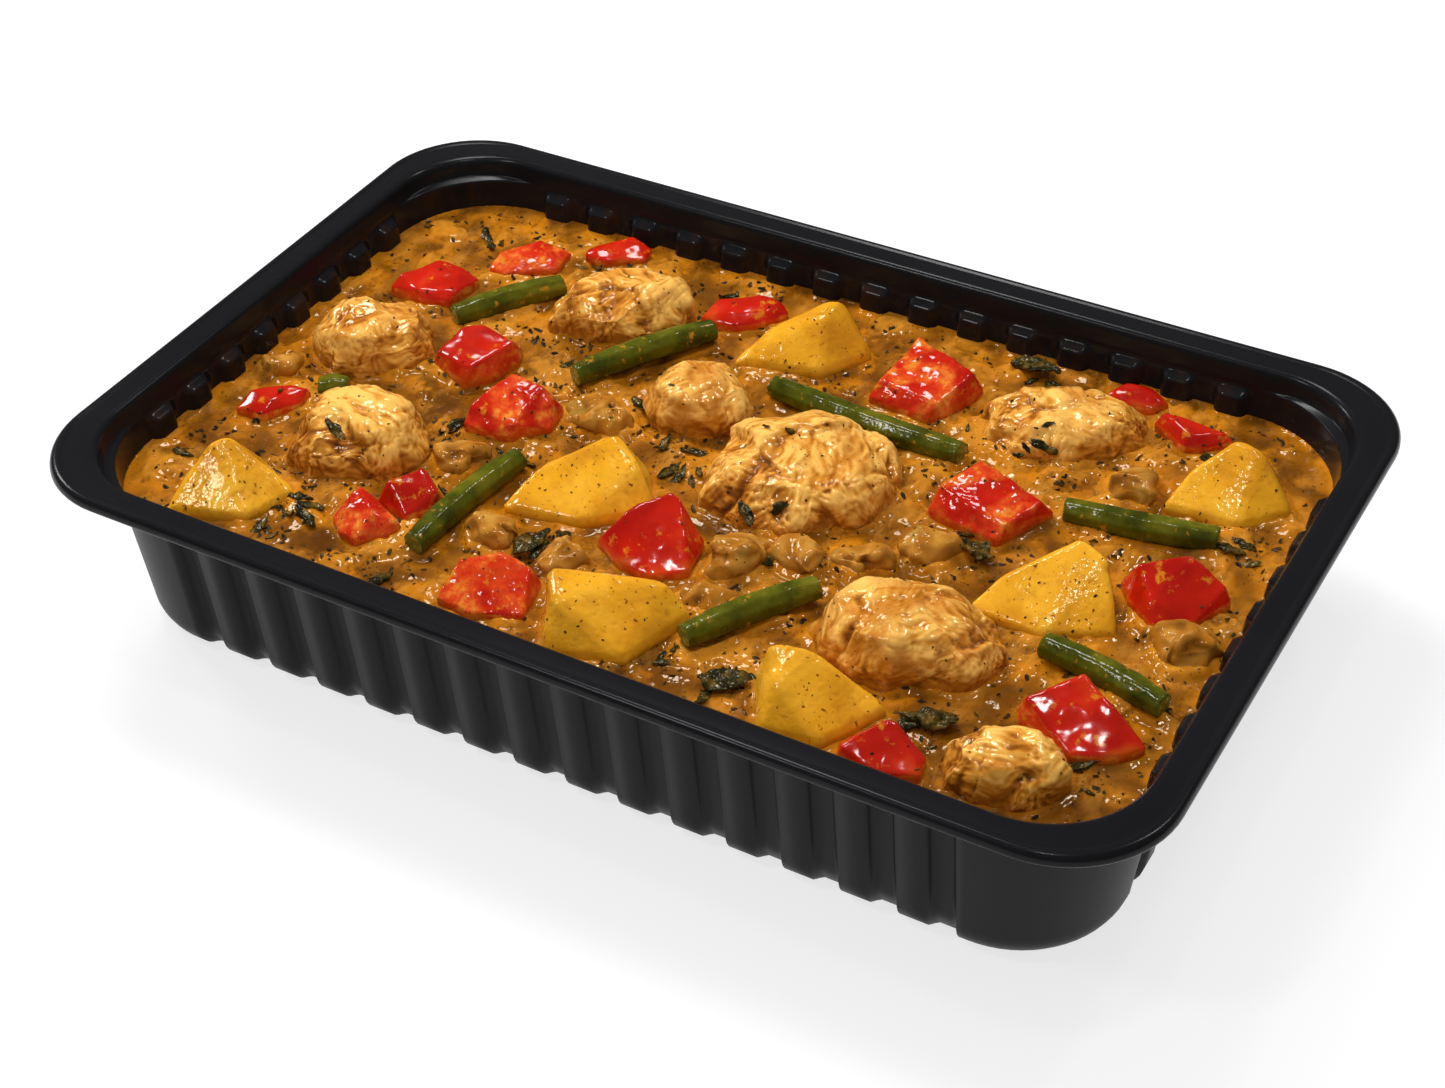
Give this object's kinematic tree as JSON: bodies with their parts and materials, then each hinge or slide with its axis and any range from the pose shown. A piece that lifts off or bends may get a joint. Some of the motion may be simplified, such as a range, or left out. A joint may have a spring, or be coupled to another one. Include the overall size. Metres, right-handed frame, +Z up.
{
  "type": "tray ready meal",
  "caption": "Family-size chicken curry ready meal with potato, red pepper and green beans in a deep black plastic tray with grooved walls and a flat rim.",
  "frame": {"origin": "centre of the tray's underside, on the table", "axes": "+X along the tray's long side, +Y to the back, +Z up out of the tray"},
  "size_m": [0.29, 0.19, 0.052],
  "materials": {
    "tray": "satin black moulded plastic",
    "sauce": "wet golden orange-brown curry sauce",
    "chicken": "light golden cooked chicken, moist",
    "potato": "golden yellow cooked potato",
    "pepper": "glossy red pepper skin",
    "onion": "soft onion under a coat of sauce",
    "bean": "dark olive green bean",
    "leaf": "dark wilted leaf"
  },
  "bodies": {
    "root": {"tray": "tray", "sauce": "sauce", "chicken_1": "chicken", "chicken_2": "chicken", "chicken_3": "chicken", "chicken_4": "chicken", "chicken_5": "chicken", "chicken_6": "chicken", "chicken_7": "chicken", "chicken_8": "chicken", "potato_1": "potato", "potato_2": "potato", "potato_3": "potato", "potato_4": "potato", "potato_5": "potato", "potato_6": "potato", "potato_7": "potato", "pepper_1": "pepper", "pepper_2": "pepper", "pepper_3": "pepper", "pepper_4": "pepper", "pepper_5": "pepper", "pepper_6": "pepper", "pepper_7": "pepper", "pepper_8": "pepper", "pepper_9": "pepper", "pepper_10": "pepper", "pepper_11": "pepper", "pepper_12": "pepper", "pepper_13": "pepper", "pepper_14": "pepper", "pepper_15": "pepper", "pepper_16": "pepper", "pepper_17": "pepper", "pepper_18": "pepper", "bean_1": "bean", "bean_2": "bean", "bean_3": "bean", "bean_4": "bean", "bean_5": "bean", "bean_6": "bean", "bean_7": "bean", "bean_8": "bean", "onion_1": "onion", "onion_2": "onion", "onion_3": "onion", "onion_4": "onion", "onion_5": "onion", "onion_6": "onion", "onion_7": "onion", "onion_8": "onion", "onion_9": "onion", "onion_10": "onion", "onion_11": "onion", "onion_12": "onion", "leaf_1": "leaf", "leaf_2": "leaf", "leaf_3": "leaf", "leaf_4": "leaf", "leaf_5": "leaf"}
  },
  "joints": []
}
